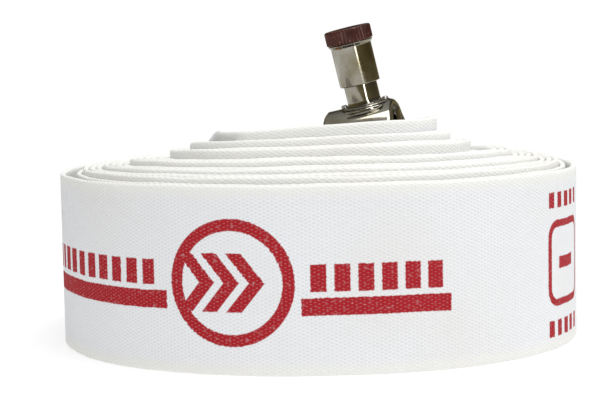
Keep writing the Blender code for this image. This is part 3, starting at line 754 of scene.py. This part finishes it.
def make_tail(name, matrix, shoulder):
    """The barbed tail, its lock ring, and the guard sleeve and wire binding on the hose over it."""
    at = matrix @ ALONG_X
    plug_r, root_r, collar_r = TAIL_SOCKET_R - FIT, TAIL_R - BARB_DEPTH, JACKET_R + COLLAR_RISE
    groove_r, groove = plug_r - PLUG_GROOVE_DEPTH, shoulder + TAIL_SOCKET / 2
    collar = shoulder - FIT - COLLAR
    end = collar - TAIL_LENGTH
    pitch = TAIL_LENGTH / BARBS
    outline = [(TAIL_BORE_R, end), (root_r, end)]
    for i in range(BARBS):
        crest = end + (i + BARB_CREST) * pitch
        outline += [(TAIL_R, crest), (root_r, crest + BARB_DROP)]
    outline += [(root_r, collar), (collar_r, collar), (collar_r, shoulder - FIT)]
    outline += [(plug_r, shoulder - FIT), (plug_r, groove - GROOVE_HALF), (groove_r, groove - GROOVE_HALF)]
    outline += [(groove_r, groove + GROOVE_HALF), (plug_r, groove + GROOVE_HALF)]
    outline += [(plug_r, shoulder + TAIL_SOCKET - FIT), (TAIL_BORE_R, shoulder + TAIL_SOCKET - FIT)]
    lathe(name + "_tail", outline, at, "plated")
    lock = ring(plug_r - LOCK_INSIDE, TAIL_SOCKET_R + LOCK_OUTSIDE, groove - LOCK_HALF, groove + LOCK_HALF)
    lathe(name + "_lock_ring", lock, at, "spring", fillet=0.2)

    low, high, inside = end + GUARD_FROM_END, collar - GUARD_FROM_COLLAR, JACKET_R + FIT
    lathe(name + "_hose_guard", ring(inside, inside + GUARD_WALL, low, high), at, "sleeve")
    start = (low + high) / 2 - WIRE_TURNS * WIRE_R
    windings_r = inside + GUARD_WALL + WIRE_GAP + WIRE_R
    windings = coil(windings_r, start, start + 2 * WIRE_R * WIRE_TURNS, WIRE_TURNS, WIRE_STEPS)
    wire(name + "_wire_binding", windings, WIRE_R * 0.97, "wire", at)


def saddle(matrix):
    """The body's swelling under a latch: a patch of tube wall about X that rises and fades out sideways."""
    loops = []
    for step in range(-SADDLE_STEPS, SADDLE_STEPS + 1):
        share = abs(step) / SADDLE_STEPS
        reach = BODY_R - SADDLE_SINK + SADDLE_RISE * (1 - smooth_step(2.2 * share - 1.2))
        outline = [
            (SADDLE_INSIDE, BODY_BACK + 1.4),
            (reach - 1.4, BODY_BACK + 1.4),
            (reach, BODY_BACK + 3.0),
            (reach, BODY_FRONT - 2.4),
            (reach - 0.7, BODY_FRONT - 0.9),
            (reach - 1.9, BODY_FRONT - 0.2),
            (SADDLE_INSIDE, BODY_FRONT - 0.2),
        ]
        angle = SADDLE_HALF_ANGLE * step / SADDLE_STEPS
        loops.append([(x, radius * math.sin(angle), radius * math.cos(angle)) for radius, x in outline])
    bm = skinned(loops)
    bmesh.ops.transform(bm, matrix=matrix, verts=bm.verts)
    return bm


def female_mesh(matrix):
    """The body with its swellings and bosses, bored through, with room for the housings and screws."""
    back, front = BODY_BACK, BODY_FRONT
    outside = [(BODY_R - 3, back), (BODY_R, back + 2.4), (BODY_R, front - 2.0), (BODY_R - 1.6, front)]
    start = moved_solid(rounded([(0, back), *outside, (0, front)], 0.9), BODY_SIDES, ALONG_X)
    mouth = [
        (0, front + 1),
        (MOUTH_R + 3.4, front + 1),
        (MOUTH_R, front - 2.6),
        (MOUTH_R, SEAL_HIGH),
        (MOUTH_R + 3.0, SEAL_HIGH),
        (MOUTH_R + 3.0, SEAL_LOW),
        *tail_socket(back),
        (TAIL_SOCKET_R, back - 1),
        (0, back - 1),
    ]
    bore = moved_solid(mouth, BODY_SIDES, ALONG_X)
    boss = [
        (0, 20),
        (BOSS_R + 3.5, 20),
        (BOSS_R + 3.5, 36.5),
        (BOSS_R, 40.3),
        (BOSS_R, BOSS_TOP),
        (0, BOSS_TOP),
    ]
    stub_hole = rod(HOUSING_STUB_R + 0.3, 25, BOSS_TOP + 3)
    flange_recess = rod(HOUSING_FLANGE_R + 0.35, BOSS_TOP, BOSS_TOP + 6)
    screw_hole = rod(SCREW_HOLE_R, 37.2, BOSS_TOP + 2)
    flips = [Matrix.Rotation(math.radians(angle), 4, "X") for angle in (0, 180)]
    cuts = []
    for flip in flips:
        cuts += [("UNION", moved_solid(rounded(boss, 0.8), LATCH_SIDES, flip)), ("UNION", saddle(flip))]
    cuts.append(("DIFFERENCE", bore))
    for flip in flips:
        cuts += [("DIFFERENCE", moved_solid(hole, LATCH_SIDES, flip)) for hole in (stub_hole, flange_recess)]
        for sign in (-1, 1):
            place = flip @ Matrix.Translation((sign * SCREW_OUT, 0, 0))
            cuts.append(("DIFFERENCE", moved_solid(screw_hole, 16, place)))
    return cut("female_body", start, cuts, matrix, 30)


def make_female(matrix):
    piece("female_body_fine", female_mesh(matrix), "plated", ROOT, "female_body")
    lip = [
        (MOUTH_R - 0.6, SEAL_LOW + 0.4),
        (MOUTH_R + 2.7, SEAL_LOW + 0.4),
        (MOUTH_R + 2.7, SEAL_HIGH - 0.4),
        (MOUTH_R + 0.6, SEAL_HIGH - 0.4),
        (MOUTH_R - 0.9, SEAL_HIGH - 1.6),
        (MOUTH_R + 0.9, SEAL_HIGH - 2.8),
    ]
    lathe("female_seal", lip, matrix @ ALONG_X, "seal")
    make_tail("female", matrix, BODY_BACK)


def fluted(radius, low, high):
    """A solid bar with flutes along it that fade out at its rounded ends."""
    levels = (  # height, how far the bar draws in, how deep its flutes are
        (low, 0.7, 0),
        (low + 0.5, 0.1, 0.4),
        (low + 0.9, 0, 1),
        (high - 1.2, 0, 1),
        (high - 0.6, 0.15, 0.7),
        (high - 0.2, 0.5, 0.2),
        (high, 1.2, 0),
    )
    loops = []
    for height, shrink, ridged in levels:
        loop = []
        for i in range(4 * FLUTES):
            dip = FLUTE_DEPTHS[i % 4] * ridged
            angle = i * math.pi / 2 / FLUTES
            reach = radius - shrink - dip
            loop.append((reach * math.cos(angle), reach * math.sin(angle), height))
        loops.append(loop)
    return skinned(loops)


def make_housing(name, axis):
    foot = BOSS_TOP + 0.2
    outline = [
        (HOUSING_BORE_R, HOUSING_FOOT),
        (HOUSING_STUB_R, HOUSING_FOOT),
        (HOUSING_STUB_R, foot),
        (HOUSING_FLANGE_R, foot),
        (HOUSING_FLANGE_R, HOUSING_FLANGE_TOP - 0.6),
        (HOUSING_FLANGE_R - 0.8, HOUSING_FLANGE_TOP),
        (HOUSING_R + 0.4, HOUSING_FLANGE_TOP),
        (HOUSING_R, HOUSING_FLANGE_TOP + 2.4),
        (HOUSING_R, HOUSING_TOP),
        (HOUSING_BORE_R, HOUSING_TOP),
    ]
    hole = rod(SCREW_HOLE_R, foot - 1, HOUSING_FLANGE_TOP + 1)
    cuts = []
    for sign in (-1, 1):
        cuts.append(("DIFFERENCE", moved_solid(hole, 16, Matrix.Translation((sign * SCREW_OUT, 0, 0)))))
    mesh = cut(name + "housing", spun(rounded(outline, 0.4), 96), cuts, axis)
    piece(name + "housing_fine", mesh, "plated", ROOT, name + "housing")
    gland = ring(SPINDLE_R + FIT, HOUSING_BORE_R - FIT, GLAND_BOTTOM, HOUSING_TOP)
    lathe(name + "gland", gland, axis, "machined", sides=LATCH_SIDES)


def make_screws(name, axis):
    """The two slotted screws that hold the housing's flange, turned differently."""
    head = HOUSING_FLANGE_TOP + 0.2
    outline = [(0, SCREW_FOOT), (SCREW_R, SCREW_FOOT), (SCREW_R, head), (2.1, head)]
    outline += [(1.9, head + 1.0), (1.2, head + 1.5), (0, head + 1.6)]
    for number, sign in ((1, -1), (2, 1)):
        slot_box = bmesh.new()
        bmesh.ops.create_cube(slot_box, size=1.0)
        bmesh.ops.scale(slot_box, vec=(6.0, 0.5, 1.6), verts=slot_box.verts)
        bmesh.ops.translate(slot_box, verts=slot_box.verts, vec=(0, 0, head + 1.7))
        place = axis @ Matrix.Translation((sign * SCREW_OUT, 0, 0)) @ Matrix.Rotation(0.6 * number, 4, "Z")
        node = f"{name}screw_{number}"
        mesh = cut(node, spun(rounded(outline, 0.15), 32), [("DIFFERENCE", slot_box)], place)
        piece(node + "_fine", mesh, "machined", ROOT, node)


def make_spring(name, axis):
    """The spring, coiled between the plunger's tooth and the gland."""
    low, high = TOOTH_TOP + 1.2, GLAND_BOTTOM - 1.2
    points = coil(SPRING_R, low, high, SPRING_TURNS, SPRING_STEPS)
    spring = wire(name + "spring", points, SPRING_WIRE_R, "spring", axis)
    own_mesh(spring)


def make_pull(name, axis, moving):
    """What moves when the latch is pulled: plunger, sleeve, cap and lock nut."""
    plunger = [
        (0, TOOTH_TIP),
        (TOOTH_R - 2.6, TOOTH_TIP),
        (TOOTH_R, TOOTH_TIP + 3.2),
        (TOOTH_R, TOOTH_TOP),
        (SPINDLE_R, TOOTH_TOP),
        (SPINDLE_R, GRIP_TOP - 1.4),
        (0, GRIP_TOP - 1.4),
    ]
    lathe(name + "plunger", plunger, axis, "machined", moving, LATCH_SIDES)
    hole_r = SPINDLE_R + FIT
    sleeve = [
        (HOUSING_R + 0.5, SLEEVE_BOTTOM),
        (SLEEVE_R - 0.4, SLEEVE_BOTTOM),
        (SLEEVE_R, SLEEVE_BOTTOM + 0.4),
        (SLEEVE_R, SLEEVE_TOP - 2.0),
        (GRIP_R - 0.9, SLEEVE_TOP - 0.7),
        (GRIP_R - 0.6, SLEEVE_TOP),
        (hole_r, SLEEVE_TOP),
        (hole_r, SLEEVE_CEILING),
        (HOUSING_R + 0.5, SLEEVE_CEILING),
    ]
    lathe(name + "pull_sleeve", sleeve, axis, "plated", moving)
    grip_low, nut_low = SLEEVE_TOP + FIT, GRIP_TOP - NUT_RECESS
    recess = [(0, grip_low - 1), (hole_r, grip_low - 1), (hole_r, nut_low), (NUT_RECESS_R, nut_low)]
    recess += [(NUT_RECESS_R, GRIP_TOP + 1), (0, GRIP_TOP + 1)]
    cuts = [("DIFFERENCE", spun(recess, 48))]
    grip = cut(name + "grip_cap", fluted(GRIP_R, grip_low, GRIP_TOP), cuts, axis, 40)
    piece(name + "grip_cap_fine", grip, "grip", moving, name + "grip_cap")
    # The hexagonal nut's flats clear the round spindle.
    nut = ring(hole_r / math.cos(math.pi / 6), NUT_R, nut_low + FIT, GRIP_TOP - 0.8)
    lathe(name + "lock_nut", nut, axis, "machined", moving, 6, 0.0)


def make_latch(side, coupling, angle, moving):
    """One spring latch, along the coupling's Z turned by angle about its X."""
    axis = coupling @ Matrix.Rotation(math.radians(angle), 4, "X")
    name = side + "_latch_"
    make_housing(name, axis)
    make_screws(name, axis)
    make_spring(name, axis)
    make_pull(name, axis, moving)


def make_male(matrix):
    half, shoulder = MALE_FLANGE_HALF, -(MALE_FLANGE_HALF + MALE_HUB)
    end = half + SPIGOT_LENGTH
    low, high = end - 18.0, end - 3.6
    outline = [
        *tail_socket(shoulder),
        (BODY_R - 3.2, shoulder),
        (BODY_R - 2.2, shoulder + 1.0),
        (BODY_R - 2.2, -half),
        (MALE_FLANGE_R - 1.0, -half),
        (MALE_FLANGE_R, -half + 1.0),
        (MALE_FLANGE_R, half - 1.0),
        (MALE_FLANGE_R - 1.0, half),
        (SPIGOT_R, half),
        (SPIGOT_R, low),
        (SPIGOT_R - 2.6, low + 0.6),
        (SPIGOT_R - 2.6, high),
        (SPIGOT_R, high),
        (SPIGOT_R, end - 3.0),
        (SPIGOT_R - 2.4, end),
        (TAIL_BORE_R, end),
    ]
    lathe("male_body", outline, matrix @ ALONG_X, "plated", sides=BODY_SIDES, fillet=0.6)
    make_tail("male", matrix, shoulder)


# --- surroundings ----------------------------------------------------------------------------------------
def make_stage():
    mesh = bpy.data.meshes.new("floor")
    corners = [(x * FLOOR_HALF, y * FLOOR_HALF, 0) for x, y in ((-1, -1), (1, -1), (1, 1), (-1, 1))]
    mesh.from_pydata(corners, [], [(0, 1, 2, 3)])
    floor = add_object("floor", mesh)
    n = material_nodes("floor")
    look = n.finish(FLOOR_COLOUR, 0.95, Emission_Color=(*WHITE, 1.0), Emission_Strength=FLOOR_GLOW)
    mesh.materials.append(look)


def light(name, at, aim, size, power):
    data = bpy.data.lights.new(name, "AREA")
    data.shape = "RECTANGLE"
    data.size, data.size_y = size
    data.energy = power
    made = add_object(name, data)
    made.location = at
    made.rotation_euler = (Vector(aim) - Vector(at)).to_track_quat("-Z", "Y").to_euler()
    return made


def make_lights():
    light("top", at=(0.2, -0.3, 1.5), aim=(0, 0, 0.05), size=(0.8, 0.8), power=10.0)
    # A tall strip for the metal to mirror. It adds no diffuse light.
    streak = light("streak", at=(0.42, -1.1, 0.3), aim=(0.03, -0.05, 0.17), size=(0.14, 0.8), power=3.0)
    streak.visible_diffuse = False


def make_world():
    """White to the camera, a dim room for the metal to mirror, and an uneven sky to light everything by."""
    world = bpy.data.worlds.new("studio")
    bpy.context.scene.world = world
    n = Nodes(world)
    ray = n.add("ShaderNodeLightPath").outputs
    direction = n.parts(n.add("ShaderNodeTexCoord").outputs["Generated"])
    room = n.ramp(direction["Z"], ROOM)
    across = n.math("MULTIPLY_ADD", direction["X"], 0.5, 0.5)
    stops = [(place, tuple(level * share for share in SKY_TINT)) for place, level in SKY]
    seen = n.ramp(across, [*stops, (1.0, WHITE)])
    seen = n.mix(ray["Is Glossy Ray"], seen, room)
    seen = n.mix(ray["Is Camera Ray"], seen, WHITE)
    background = n.tree.nodes["Background"]
    n.put(background.inputs["Color"], seen)
    background.inputs["Strength"].default_value = 1.0


def make_camera():
    data = bpy.data.cameras.new("camera")
    data.lens = LENS
    data.sensor_width = 36.0
    camera = add_object("camera", data)
    centre = Vector((ROLL_AT.x, ROLL_AT.y, 0))
    turn = Matrix.Rotation(math.pi / 2 - CAMERA_PITCH, 4, "X") @ Matrix.Rotation(-CAMERA_ROLL, 4, "Z")
    camera.matrix_world = Matrix.Translation((centre + CAMERA_FROM_ROLL) * MM) @ turn
    bpy.context.scene.camera = camera


def main():
    female = (
        Matrix.Translation(FEMALE_AT)
        @ Matrix.Rotation(FEMALE_TURN, 4, "Z")
        @ Matrix.Rotation(-FEMALE_RISE, 4, "Y")
        @ Matrix.Rotation(FEMALE_LEAN, 4, "X")
    )
    male = Matrix.Translation(MALE_AT) @ Matrix.Rotation(MALE_TURN, 4, "Z")
    make_camera()
    make_hose(female, male)
    make_female(female)
    make_latch("upper", female, 0, UPPER)
    make_latch("lower", female, 180, LOWER)
    make_male(male)
    make_stage()
    make_world()
    make_lights()
    bpy.context.scene.view_settings.view_transform = "Standard"


main()
